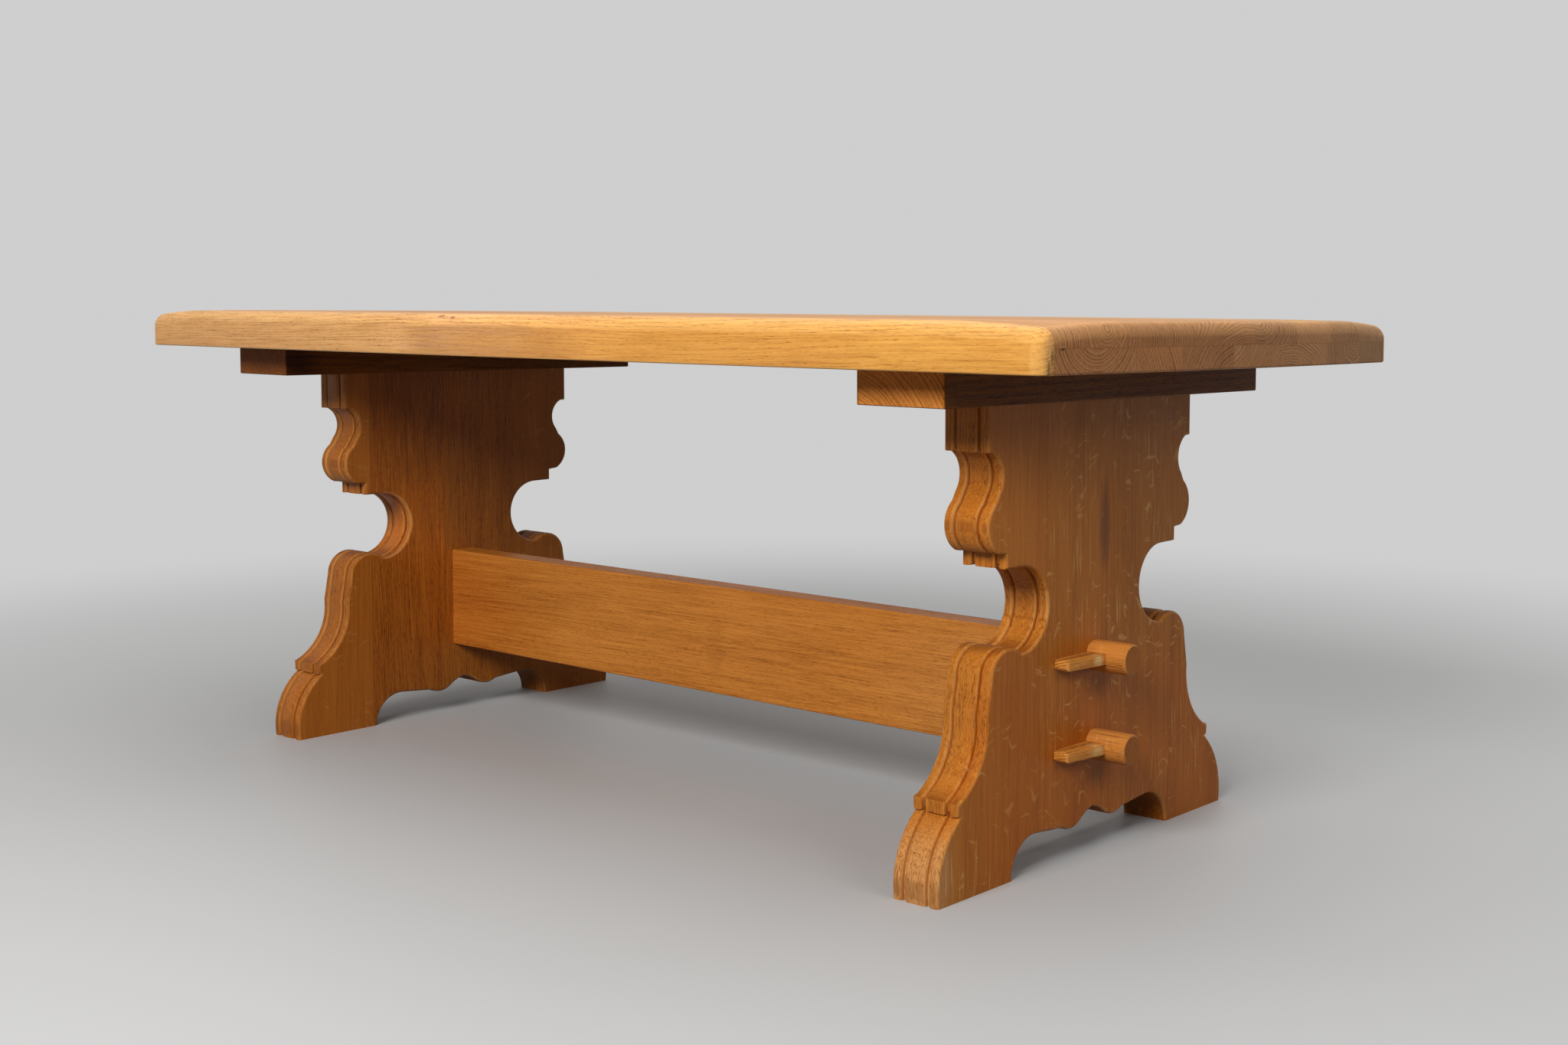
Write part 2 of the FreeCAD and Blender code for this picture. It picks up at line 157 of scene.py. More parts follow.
# from open pores through early and late wood, as shares of the finish's own colour
grainShades = (
    (0.0, (0.42, 0.35, 0.30)),
    (0.34, (0.80, 0.75, 0.68)),
    (0.60, (1.05, 1.06, 1.08)),
    (1.0, (1.28, 1.40, 1.60)),
)
# how fine each figure is along, across and through the wood, and between which values it starts to show
figures = {
    "sway": {"scale": (0.8, 4, 4), "detail": 1.0},
    "ripple": {"scale": (6, 34, 34), "detail": 1.0},
    "feather": {"scale": (70, 150, 150), "detail": 1.0},
    "pace": {"scale": (60, 1, 1), "detail": 1.0},
    "dashes": {"scale": (90, 950, 950), "detail": 1.0, "shows": (0.55, 0.66)},
    "hairs": {"scale": (24, 620, 620), "detail": 1.0, "shows": (0.56, 0.70)},
    "fibre": {"scale": (5, 190, 190), "detail": 3.0},
    "thread": {"scale": (11, 560, 560), "detail": 1.0},
    "streak": {"scale": (1.1, 24, 24), "detail": 2.0},
    "cloud": {"scale": (3.0, 6, 6), "detail": 2.0},
    "curl": {"scale": (15, 27, 27), "detail": 1.0},
    "rayLines": {"scale": (17, 280, 30), "detail": 1.0, "shows": (0.60, 0.69)},
    "rayField": {"scale": (4, 9, 9), "detail": 1.0, "shows": (0.36, 0.56)},
    "hooks": {"scale": (125, 32, 8), "detail": 1.0, "shows": (0.60, 0.72)},
    "hookField": {"scale": (16, 24, 24), "detail": 1.0, "shows": (0.43, 0.58)},
}
# how squarely a face cuts the rings, or the grain
sawing = {"flat": (0.25, 0.80), "slope": (0.25, 0.75)}
# places within one year's ring, and how strongly the ring shows
ringShape = {
    "opens": (0.0, 0.07), "early": (0.62, 0.10), "late": (0.66, 0.80), "closes": (0.98, 0.88), "drift": 3.0,
    "faintYear": 0.35, "yearSpread": 0.65, "quarterSawn": 0.55, "flatSawn": 0.45, "endGrain": 0.6,
}
# how strongly pores, rays, tones, glue lines, marks, rubbed arrises with their painted sheen, gloss and
# relief show
poreShape = {"hairs": 0.2, "quarterSawn": 0.32, "flatSawn": 0.68, "slope": 0.4}
rayShape = {"curl": 0.07, "lines": 0.8}
woodTone = {"middle": 0.60, "quarterThread": 0.5, "flatThread": 0.8, "cloud": (0.38, 0.72), "blush": 0.8}
glueLine = {"width": (0.0010, 0.0003), "strength": 0.4}
markEdge = {"fade": (1.0, 0.25), "ragged": 0.8}
rubSheenBreakup = {"fibre": 0.5, "shows": (0.50, 0.90)}
roughened = {"pores": 0.12, "cloud": 0.18, "endGrain": 0.14, "flecks": 0.06, "rubbedSheen": 0.05}
raised = {"fibre": 0.25, "thread": 0.2, "streak": 0.3}
sunken = {"pores": 0.7, "rings": 0.25}
relief = {"strength": 0.45, "height": 0.0006}


def figured(vector, name, output="Fac"):
    figure = figures[name]
    value = noise(vector, figure["scale"], figure["detail"], output)
    return smooth(value, *figure["shows"]) if "shows" in figure else value


def layGrain(start, finish, board):
    place = start.add("ShaderNodeTexCoord", output="Object")
    facing = start.add("ShaderNodeNewGeometry", output="Normal")
    lean = Euler((0, math.radians(board["lean"][0]), math.radians(board["lean"][1]))).to_matrix()
    turn = lean @ grainTurns[board["grain"]].to_matrix()
    wood = place.add("ShaderNodeMapping", None, {
        "Vector": place, "Rotation": turn.to_euler(), "Location": turn @ -Vector(board["pith"])})
    woodFacing = facing.add("ShaderNodeMapping", {"vector_type": "VECTOR"}, {
        "Vector": facing, "Rotation": turn.to_euler()})
    # the tree grew a little crooked
    bent = wood
    for bend in ("sway", "ripple", "feather"):
        reach = (0, finish[bend], finish[bend])
        bent = vectorMaths("MULTIPLY_ADD", figured(wood, bend, "Color"), reach, bent)
    parts = bent.add("ShaderNodeSeparateXYZ", None, {0: bent}).socket.node.outputs
    along, across, through = [Wire(start.tree, part) for part in parts]
    outward = vectorMaths("MULTIPLY", bent, (0, 1, 1))
    # flat sawn faces show rings and pores, quarter sawn ones their rays
    outwardWay = vectorMaths("NORMALIZE", outward)
    flatness = vectorMaths("DOT_PRODUCT", outwardWay, woodFacing, output="Value")
    endOn = vectorMaths("DOT_PRODUCT", facing, grainAxes[board["grain"]], output="Value")
    endOn = start.maths("ABSOLUTE", endOn)
    return {
        "place": place, "wood": wood, "bent": bent, "along": along,
        "radius": vectorMaths("LENGTH", outward, output="Value"),
        "angle": start.maths("ARCTAN2", through, across),
        "flatSawn": smooth(start.maths("ABSOLUTE", flatness), *sawing["flat"]),
        "slope": smooth(endOn, *sawing["slope"]),
        "endGrain": smooth(endOn, *finish["endFrom"]),
    }


def growRings(grain, finish):
    # open pores first in each year, dense late wood after
    radius = grain["radius"]
    pace = figured(radius.add("ShaderNodeCombineXYZ", None, {0: radius}), "pace")
    rings = radius / finish["ring"] + pace * ringShape["drift"]
    phase = rings.maths("FRACT", rings)
    count = rings.maths("FLOOR", rings)
    year = rings.add("ShaderNodeTexWhiteNoise", {"noise_dimensions": "1D"}, {"W": count})
    early = smooth(phase, *ringShape["early"]) * smooth(phase, *ringShape["opens"])
    late = smooth(phase, *ringShape["late"]) * smooth(phase, *ringShape["closes"])
    byYear = ringShape["faintYear"] + year * ringShape["yearSpread"]
    bySawing = ringShape["quarterSawn"]
    for name in ("flatSawn", "endGrain"):
        bySawing = bySawing + grain[name] * ringShape[name]
    grain.update(early=early, late=late * grain["endGrain"], rings=early * byYear * bySawing)


def openPores(grain, finish):
    bent = grain["bent"]
    inRings = 1 - finish["poreRings"] + grain["early"] * finish["poreRings"]
    opened = figured(bent, "dashes") * inRings + figured(bent, "hairs") * poreShape["hairs"]
    bySawing = poreShape["quarterSawn"] + grain["flatSawn"] * poreShape["flatSawn"]
    grain["pores"] = opened * bySawing * (1 - grain["slope"] * poreShape["slope"])
    for name in ("fibre", "thread", "streak"):
        grain[name] = figured(bent, name)
    grain["cloud"] = figured(grain["wood"], "cloud")


def castRays(grain, board):
    # long pale lines, and hooks where the face runs along a ray
    wood, along = grain["wood"], grain["along"]
    curled = along + figured(wood, "curl") * rayShape["curl"]
    straightRay, curledRay = [
        along.add("ShaderNodeCombineXYZ", None, {0: way, 1: grain["radius"], 2: grain["angle"]})
        for way in (along, curled)]
    lines = figured(straightRay, "rayLines") * figured(wood, "rayField") * rayShape["lines"]
    hooks = figured(curledRay, "hooks") * figured(wood, "hookField")
    grain["flecks"] = (lines + hooks) * (1 - grain["flatSawn"]) * (1 - grain["endGrain"]) * board["flecks"]


def tinted(colour, shares):
    return [channel * share for channel, share in zip(colour, shares)]


def woodColour(grain, finish, board, shades):
    threads = woodTone["quarterThread"] + grain["flatSawn"] * woodTone["flatThread"]
    depth = (woodTone["middle"]
             + (grain["fibre"] - noiseMiddle) * finish["fibre"]
             + (grain["thread"] - noiseMiddle) * threads * finish["thread"]
             + (grain["streak"] - noiseMiddle) * finish["streak"]
             - grain["rings"] * finish["ringDepth"] * board["rings"]
             - grain["pores"] * finish["poreDepth"]
             + grain["late"] * finish["lateLine"])
    colour = depth.add("ShaderNodeValToRGB", {"stops": shades}, {0: depth})
    clouded = smooth(grain["cloud"], *woodTone["cloud"]) * woodTone["blush"]
    colour = blended(clouded, colour, finish["blush"], "MULTIPLY")
    colour = blended(grain["flecks"], colour, finish["fleck"])
    return blended(grain["endGrain"], colour, finish["end"], "MULTIPLY")


def markedColour(colour, grain, board, glue):
    # glue lines beside the neighbouring boards, then the marks: stains, cracks and pale spots, and on some
    # boards painted light and shade
    place = grain["place"]
    for axis, seams in board["seams"].items():
        spot = place.add("ShaderNodeSeparateXYZ", None, {0: place}, axis)
        for seam in seams:
            line = smooth(place.maths("ABSOLUTE", spot - seam), *glueLine["width"])
            colour = blended(line * glueLine["strength"], colour, glue)
    for centre, reach, amount, stain in board.get("marks", []):
        offset = place.add("ShaderNodeMapping", None, {
            "Vector": place, "Location": [-value / size for value, size in zip(centre, reach)],
            "Scale": [1 / size for size in reach]})
        distance = vectorMaths("LENGTH", offset, output="Value")
        for name in ("fibre", "cloud"):
            distance = distance + (grain[name] - noiseMiddle) * markEdge["ragged"]
        colour = blended(smooth(distance, *markEdge["fade"]) * amount, colour, stain, "MULTIPLY")
    return colour


def oak(name, finish, board):
    material = bpy.data.materials.new(name)
    start = emptyTree(material)
    grain = layGrain(start, finish, board)
    growRings(grain, finish)
    openPores(grain, finish)
    castRays(grain, board)

    base = tinted(finish["base"], [board["tone"] * board["warmth"] ** power for power in range(3)])
    shades = [(position, tinted(base, share)) for position, share in grainShades]
    glue = shades[0][1]
    colour = markedColour(woodColour(grain, finish, board, shades), grain, board, glue)
    # rounded arrises turn paler: partly wear, partly a painted highlight standing in for the sheen on the
    # rounding
    wornSheen = start.add("ShaderNodeAttribute", {"attribute_name": "arris"}, None, "Fac")
    rubbedSheen = wornSheen * smooth(grain["cloud"] + grain["fibre"] * rubSheenBreakup["fibre"], *rubSheenBreakup["shows"])
    colour = blended(rubbedSheen * finish["rubSheen"], colour, finish["wornSheen"])

    rough = (finish["rough"]
             + grain["pores"] * roughened["pores"]
             + (grain["cloud"] - noiseMiddle) * roughened["cloud"]
             + grain["endGrain"] * roughened["endGrain"]
             - grain["flecks"] * roughened["flecks"]
             - rubbedSheen * roughened["rubbedSheen"])
    height = (grain["fibre"] * raised["fibre"]
              + grain["thread"] * raised["thread"]
              - grain["pores"] * sunken["pores"]
              - grain["rings"] * sunken["rings"]
              + grain["streak"] * raised["streak"])
    bumps = start.add("ShaderNodeBump", None, {
        "Strength": relief["strength"], "Distance": relief["height"], "Height": height})
    surface = start.add("ShaderNodeBsdfPrincipled", None, {
        "Base Color": colour, "Roughness": rough, "Normal": bumps, "Specular IOR Level": finish["shine"]})
    start.add("ShaderNodeOutputMaterial", None, {"Surface": surface})
    return material


# One finish for each kind of board; the pale colour of rubbed arrises is partly wear, partly a painted
# highlight
edgeOak = {
    "base": (0.70, 0.325, 0.062), "blush": (0.93, 0.88, 0.94), "fleck": (0.84, 0.50, 0.16),
    "end": (0.60, 0.58, 0.80), "endFrom": (0.62, 0.92), "wornSheen": (0.86, 0.54, 0.20), "rubSheen": 0.25,
    "rough": 0.40, "shine": 0.22, "ring": 0.0046, "ringDepth": 0.20, "lateLine": 0.35,
    "poreRings": 0.65, "poreDepth": 0.52, "sway": 0.05, "ripple": 0.0055, "feather": 0.0014,
    "fibre": 0.5, "thread": 0.8, "streak": 0.22,
}
topOak = {
    "base": (0.60, 0.29, 0.080), "blush": (0.86, 0.83, 0.84), "fleck": (0.74, 0.44, 0.16),
    "end": (0.62, 0.59, 0.80), "endFrom": (0.25, 0.75), "wornSheen": (0.70, 0.40, 0.15), "rubSheen": 0.2,
    "rough": 0.40, "shine": 0.22, "ring": 0.0046, "ringDepth": 0.32, "lateLine": 0.5,
    "poreRings": 0.65, "poreDepth": 0.40, "sway": 0.05, "ripple": 0.0035, "feather": 0.0008,
    "fibre": 0.8, "thread": 0.7, "streak": 0.5,
}
trestleOak = {
    "base": (0.455, 0.150, 0.018), "blush": (0.88, 0.84, 0.82), "fleck": (0.70, 0.37, 0.11),
    "end": (0.66, 0.60, 0.66), "endFrom": (0.72, 0.96), "wornSheen": (0.64, 0.32, 0.10), "rubSheen": 0.55,
    "rough": 0.44, "shine": 0.22, "ring": 0.0040, "ringDepth": 0.09, "lateLine": 0.2,
    "poreRings": 0.2, "poreDepth": 0.44, "sway": 0.03, "ripple": 0.0030, "feather": 0.0005,
    "fibre": 0.55, "thread": 0.95, "streak": 0.5,
}
bearerOak = {
    **trestleOak, "base": (0.26, 0.086, 0.012), "end": (2.4, 2.6, 3.6), "shine": 0.11,
    "ring": 0.0060, "ringDepth": 0.36,
}
stretcherOak = {
    **trestleOak, "base": (0.53, 0.186, 0.027), "ringDepth": 0.14, "poreDepth": 0.27, "sway": 0.02,
    "thread": 0.6,
}
wedgeOak = {
    **trestleOak, "base": (0.56, 0.225, 0.042), "end": (0.90, 0.88, 0.85), "wornSheen": (0.68, 0.38, 0.13),
    "ring": 0.0042, "ringDepth": 0.62, "poreDepth": 0.6,
}
dowelOak = {**trestleOak, "ring": 0.0030}
finishes = {
    "edge_oak": (edgeOak, "X"), "top_oak": (topOak, "X"), "trestle_oak": (trestleOak, "Z"),
    "bearer_oak": (bearerOak, "Y"), "stretcher_oak": (stretcherOak, "X"), "wedge_oak": (wedgeOak, "Y"),
    "dowel_oak": (dowelOak, "Z"),
}

# Tints of the marks, some of them painted shade, and the boards of the top from front to rear
smoke = (0.40, 0.36, 0.38)
crack = (0.10, 0.09, 0.09)
rubbedPale = (1.35, 2.4, 5.5)
amber = (0.97, 0.78, 0.58)
paintedShade = (0.62, 0.60, 0.34)
upperTones = (1.02, 0.88, 0.96, 0.86, 1.16, 0.94, 0.98)
lowerTones = (0.98, 1.08, 0.98, 1.04, 1.12, 0.98, 0.84)
topWarmths = (0.93, 0.91, 0.93, 0.98, 1.03, 1.03, 1.07)
# Where each board's pith lies, in metres, how its grain leans, in degrees, and how it is tinted;
# a mark has its centre, its reach, its strength and its tint, and some marks are painted light and shade
boardCuts = {
    "front_edge_strip": {
        "pith": (0.10, -0.37, 0.64), "lean": (0.9, 0.6), "flecks": 0.10, "tone": 1.0, "warmth": 1.0,
        "marks": [
            ((-0.60, -0.45, 0.715), (0.90, 0.1, 0.2), 0.85, (0.98, 1.08, 2.0)),
            ((-0.12, -0.44, 0.742), (0.010, 0.02, 0.003), 0.9, smoke),
            ((-0.09, -0.44, 0.740), (0.006, 0.02, 0.003), 0.9, smoke),
            ((0.06, -0.45, 0.715), (0.34, 0.1, 0.2), 0.8, (1.16, 1.17, 1.5)),
            ((0.984, -0.4205, 0.691), (0.05, 0.0026, 0.012), 0.95, crack),
            ((0.984, -0.4165, 0.706), (0.05, 0.0026, 0.012), 0.95, crack)]},
    "rear_edge_strip": {"pith": (-0.2, 0.33, 0.80), "lean": (-0.7, 0.8), "flecks": 0.15},
    "right_front_ear": {"pith": (0.735, 0.06, 0.5), "lean": (0.7, 0.4), "flecks": 0.35, "tone": 1.02},
    "right_front_foot": {
        "pith": (0.705, 0.02, 0.2), "lean": (0.8, -0.5), "flecks": 0.55, "tone": 1.02, "marks": [
            ((0.722, -0.36, 0.04), (0.2, 0.055, 0.17), 0.8, (1.18, 1.62, 4.2)),
            ((0.76, -0.18, 0.10), (0.06, 0.14, 0.30), 0.9, amber)]},
    "right_front_board": {
        "pith": (0.735, -0.38, 0.3), "lean": (0.3, 0.5), "flecks": 0.60, "tone": 0.99, "marks": [
            ((0.76, 0.022, 0.455), (0.05, 0.020, 0.085), 0.8, smoke),
            ((0.76, 0.0, 0.08), (0.1, 0.4, 0.26), 0.9, amber)]},
    "right_rear_board": {
        "pith": (0.745, 0.42, 0.3), "lean": (-0.3, 0.4), "flecks": 0.65, "tone": 0.94, "warmth": 1.02,
        "marks": [
            ((0.76, 0.1, 0.08), (0.1, 0.4, 0.26), 0.9, amber)]},
    "right_rear_ear": {
        "pith": (0.73, -0.05, 0.5), "lean": (0.4, 0.5), "flecks": 0.55, "tone": 0.93, "warmth": 1.03},
    "right_rear_foot": {
        "pith": (0.74, -0.02, 0.2), "lean": (0.5, -0.6), "flecks": 0.65, "tone": 0.98, "marks": [
            ((0.76, 0.2, 0.08), (0.1, 0.4, 0.30), 0.9, amber)]},
    "left_front_ear": {
        "pith": (-0.70, 0.05, 0.5), "lean": (1.0, 0.4), "flecks": 0.15, "tone": 0.86, "warmth": 0.93},
    "left_front_foot": {
        "pith": (-0.70, 0.02, 0.2), "lean": (1.1, -0.7), "flecks": 0.2, "tone": 0.87, "warmth": 0.92},
    "left_front_board": {
        "pith": (-0.60, -0.06, 0.3), "lean": (1.6, 0.9), "flecks": 0.15, "tone": 0.86, "warmth": 0.90,
        "rings": 2.5, "marks": [
            # painted light across the middle of the inner face, painted shade up under the tabletop
            ((-0.684, -0.06, 0.36), (0.1, 0.4, 0.13), 0.8, (1.28, 1.20, 1.05)),
            ((-0.684, -0.06, 0.62), (0.1, 0.4, 0.12), 0.8, (0.78, 0.82, 0.9))]},
    "left_rear_board": {
        "pith": (-0.80, 0.12, 0.3), "lean": (1.1, 0.7), "flecks": 0.2, "tone": 0.87, "warmth": 0.92},
    "left_rear_ear": {
        "pith": (-0.68, -0.02, 0.5), "lean": (0.7, 0.6), "flecks": 0.2, "tone": 0.87, "warmth": 0.92},
    "left_rear_foot": {
        "pith": (-0.70, 0.04, 0.2), "lean": (0.8, 0.5), "flecks": 0.25, "tone": 0.88, "warmth": 0.92},
    "right_bearer": {
        "pith": (0.60, 0.0, 0.56), "lean": (0.6, 0.7), "flecks": 0.20, "tone": 1.0, "warmth": 1.0,
        "marks": [
            # painted shade on both long sides of the bearer, under the tabletop
            ((0.6495, 0.0, 0.66), (0.006, 1.5, 0.08), 1.0, paintedShade),
            ((0.7945, 0.0, 0.66), (0.006, 1.5, 0.08), 1.0, paintedShade)]},
    "left_bearer": {
        "pith": (-0.84, 0.0, 0.57), "lean": (0.5, -0.7), "flecks": 0.20, "tone": 1.0, "warmth": 1.0,
        "marks": [
            # painted shade on both long sides of the bearer, under the tabletop
            ((-0.6495, 0.0, 0.66), (0.006, 1.5, 0.08), 1.0, paintedShade),
            ((-0.7945, 0.0, 0.66), (0.006, 1.5, 0.08), 1.0, paintedShade),
            # painted shade on the left bearer's front end
            ((-0.722, -0.36, 0.66), (0.3, 0.07, 0.3), 1.0, (0.34, 0.29, 0.27))]},
    "stretcher": {
        "pith": (0.0, -0.35, -0.12), "lean": (0.9, 0.5), "flecks": 0.25, "tone": 1.0, "warmth": 1.0,
        "marks": [
            # darker and redder towards the left end, a faint darker spot in the middle, greyer towards the
            # right end
            ((-0.70, -0.02, 0.20), (0.36, 0.1, 0.16), 0.8, (0.86, 0.68, 0.55)),
            ((0.02, -0.02, 0.20), (0.03, 0.1, 0.07), 0.35, (0.70, 0.66, 0.62)),
            ((0.75, -0.02, 0.20), (0.50, 0.1, 0.20), 0.8, (1.0, 1.08, 1.5)),
            ((0.795, -0.0205, 0.2690), (0.045, 0.012, 0.0013), 0.85, smoke),
            ((0.805, -0.0215, 0.2745), (0.030, 0.012, 0.0010), 0.6, smoke),
            ((0.790, -0.0120, 0.1700), (0.050, 0.005, 0.0016), 0.7, smoke),
            ((0.800, -0.0185, 0.1630), (0.040, 0.005, 0.0013), 0.7, smoke),
            ((0.785, -0.0215, 0.1500), (0.030, 0.012, 0.0012), 0.6, smoke)]},
    "right_upper_wedge": {"pith": (0.79, 0.0, 0.18), "marks": [
        ((0.790, -0.036, 0.2775), (0.03, 0.013, 0.012), 0.75, rubbedPale)]},
    "right_lower_wedge": {"pith": (0.78, 0.0, 0.06), "marks": [
        ((0.790, -0.036, 0.1515), (0.03, 0.016, 0.012), 0.65, rubbedPale)]},
}
for number, (upper, lower, warmth) in enumerate(zip(upperTones, lowerTones, topWarmths), start=1):
    boardCuts[f"upper_board_{number}"] = {"tone": upper, "warmth": warmth}
    boardCuts[f"lower_board_{number}"] = {"tone": lower, "warmth": warmth}
boardCuts["lower_board_1"]["marks"] = [((0.984, -0.398, 0.7145), (0.05, 0.007, 0.0024), 0.95, crack)]
# boards without a cut of their own come from different sides of the tree: least value, spread and step
boardSpread = {
    "turn": 2.39996, "leanStep": 1.7, "flecks": 0.25, "rings": 1.0,
    "away": (0.07, 0.08, 0.618), "tone": (0.84, 0.28, 0.7548), "warmth": (0.95, 0.09, 0.5698),
}
gluedSlots = ("edge_oak", "top_oak", "trestle_oak")
slots = {node: cad.material_slots[0].material.name for node, cad in frame["nodes"].items()}


def nodesIn(*wanted):
    return [node for node in sorted(frame["nodes"]) if slots[node] in wanted]


def boardOak(node, number):
    finish, grain = finishes[slots[node]]
    low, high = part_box(node)
    way = number * boardSpread["turn"]
    away, tone, warmth = [least + spread * (number * step % 1) for least, spread, step in
                          (boardSpread[key] for key in ("away", "tone", "warmth"))]
    offset = Matrix.Rotation(way, 3, grain) @ Vector((0, 0, away) if grain != "Z" else (0, away, 0))
    seams = {"Y": [low.y, high.y]} if slots[node] in gluedSlots else {}
    if slots[node] == "top_oak":
        seams["Z"] = [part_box("upper_board_1")[0].z]
    board = {
        "grain": grain, "pith": (low + high) / 2 + offset,
        "lean": (math.sin(way), math.cos(way * boardSpread["leanStep"])), "seams": seams,
        "flecks": boardSpread["flecks"], "rings": boardSpread["rings"], "tone": tone, "warmth": warmth,
    }
    board.update(boardCuts.get(node, {}))
    return oak(f"{node}_oak", finish, board)


oaks = {node: boardOak(node, number) for number, node in enumerate(sorted(frame["nodes"]), start=1)}
for node, material in oaks.items():
    frame["nodes"][node].material_slots[0].material = material
print("oak laid on", len(oaks), "boards")

# What counts as the same: lengths in metres, a flat joint in degrees, and how square on a face stands
slack = {
    "match": 0.00006, "merge": 0.00001, "close": 0.000005, "saw": 0.000001, "flat": 0.2, "square": 0.9999,
}
# degrees under which the shading runs on over an edge
shading = {"smooth": 34, "crisp": 1}


def near(value, targets, gap=slack["match"]):
    return any(abs(value - target) < gap for target in targets)


def bends(edge, angle):
    return edge.calc_face_angle() > math.radians(angle)


def addLayers(bm):
    bm.faces.layers.int.new("rounded")
    bm.verts.layers.float.new("arris")


def mergedCopy(node):
    bm = bmesh.new()
    bm.from_mesh(frame["nodes"][node].data)
    addLayers(bm)
    bmesh.ops.remove_doubles(bm, verts=bm.verts, dist=slack["merge"])
    bmesh.ops.dissolve_limit(bm, angle_limit=math.radians(slack["flat"]), verts=bm.verts, edges=bm.edges)
    return bm


def roundEdges(bm, edges, width, segments, clamp=True):
    made = bmesh.ops.bevel(bm, geom=edges, offset=width, offset_type="OFFSET", segments=segments,
                           profile=0.5, affect="EDGES", material=-1, clamp_overlap=clamp)
    rounded = bm.faces.layers.int["rounded"]
    for face in made["faces"]:
        face[rounded] = 1


# the arris mask on rounded faces, which paints them paler for wear and as a painted highlight
def markRubSheen(bm):
    bmesh.ops.dissolve_degenerate(bm, dist=slack["merge"], edges=bm.edges)
    rounded = bm.faces.layers.int["rounded"]
    arris = bm.verts.layers.float["arris"]
    for vert in bm.verts:
        vert[arris] = 1.0 if all(face[rounded] for face in vert.link_faces) else 0.0


def finishPiece(bm, node, flats=()):
    # flats keep a crisp border
    for face in bm.faces:
        face.smooth = True
    for edge in bm.edges:
        edge.smooth = len(edge.link_faces) == 2 and edge.calc_face_angle() < math.radians(shading["smooth"])
    for face in flats:
        for edge in face.edges:
            edge.smooth = edge.smooth and edge.calc_face_angle() < math.radians(shading["crisp"])
    mesh = bpy.data.meshes.new(f"{node}_eased")
    bm.to_mesh(mesh)
    bm.free()
    if "custom_normal" in mesh.attributes:
        mesh.attributes.remove(mesh.attributes["custom_normal"])
    mesh.materials.append(oaks[node])
    piece = bpy.data.objects.new(f"{node}_eased", mesh)
    scene.collection.objects.link(piece)
    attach(piece, frame["nodes"][node]["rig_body"])
    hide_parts(node)
    return piece


# Trestle boards: arrises and reeds rounded by hand
trestle = {
    "planes": {"faces": (0.684, 0.760), "reeds": (0.6995, 0.7445), "bands": (0.705, 0.739)},
    "seams": (0.1159, 0.0389, 0.1939), "seamSlack": 0.001, "endSlack": 0.0002, "level": 0.001, "sharp": 25,
    "tenons": ((0.0, 0.1515), (0.0, 0.2775)), "bore": 0.0230, "archHalf": 0.190, "archHeight": 0.055,
}
moulding = {
    "arris": 0.0045, "reed": 0.0155, "groove": 0.0055, "depth": 0.0060, "shoulder": 0.0050, "band": 0.0035,
    "wallSlope": 0.0005, "steps": 5, "mitre": 1.5, "straight": 0.02,
}
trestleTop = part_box("right_front_board")[1].z


def mouldingSection(thick):
    # place through the thickness, depth on moulded and on plain sides, and rub, which also carries a painted
    # sheen
    turns = [math.pi / 2 * step / moulding["steps"] for step in range(moulding["steps"] + 1)]
    arris, shoulder, band, depth = [moulding[key] for key in ("arris", "shoulder", "band", "depth")]
    reed, inner = moulding["reed"], moulding["reed"] + moulding["groove"]
    half = []
    for turn in turns:
        sunk = arris * (1 - math.sin(turn))
        half.append((arris * (1 - math.cos(turn)), sunk, sunk, math.sin(2 * turn)))
    for turn in turns:
        sunk = shoulder * (1 - math.cos(turn))
        half.append((reed - shoulder * (1 - math.sin(turn)), sunk, 0, math.sin(2 * turn)))
    for wall in (reed + moulding["wallSlope"], inner - moulding["wallSlope"]):
        half.append((wall, depth, 0, 0))
    for turn in turns:
        sunk = band * (1 - math.sin(turn))
        half.append((inner + band * (1 - math.cos(turn)), sunk, 0, math.sin(2 * turn)))
    return half + [(thick - place, *rest) for place, *rest in reversed(half)]


def sunkCorner(before, after, depthBefore, depthAfter):
    # how far a corner moves when its two sides move in by their depths
    turn = before.x * after.y - before.y * after.x
    deepest = max(depthBefore, depthAfter)
    if abs(turn) < moulding["straight"]:
        return before * deepest
    move = Vector((depthBefore * after.y - depthAfter * before.y,
                   depthAfter * before.x - depthBefore * after.x)) / turn
    if min(depthBefore, depthAfter) > 0 and move.length > moulding["mitre"] * deepest:
        move = move.normalized() * moulding["mitre"] * deepest
    return move


def gluedSeams(node):
    low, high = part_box(node)
    return [plane for plane in (low.y, high.y)
            if near(abs(plane), trestle["seams"], trestle["seamSlack"])]


def sideKind(start, end, seams):
    for number, planes in ((1, seams), (2, (0.0, trestleTop))):
        if any(near(start[number], [plane]) and near(end[number], [plane]) for plane in planes):
            return "fixed"
    inArch = all(abs(corner.y) < trestle["archHalf"] and corner.z < trestle["archHeight"]
                 for corner in (start, end))
    return "plain" if inArch else "moulded"


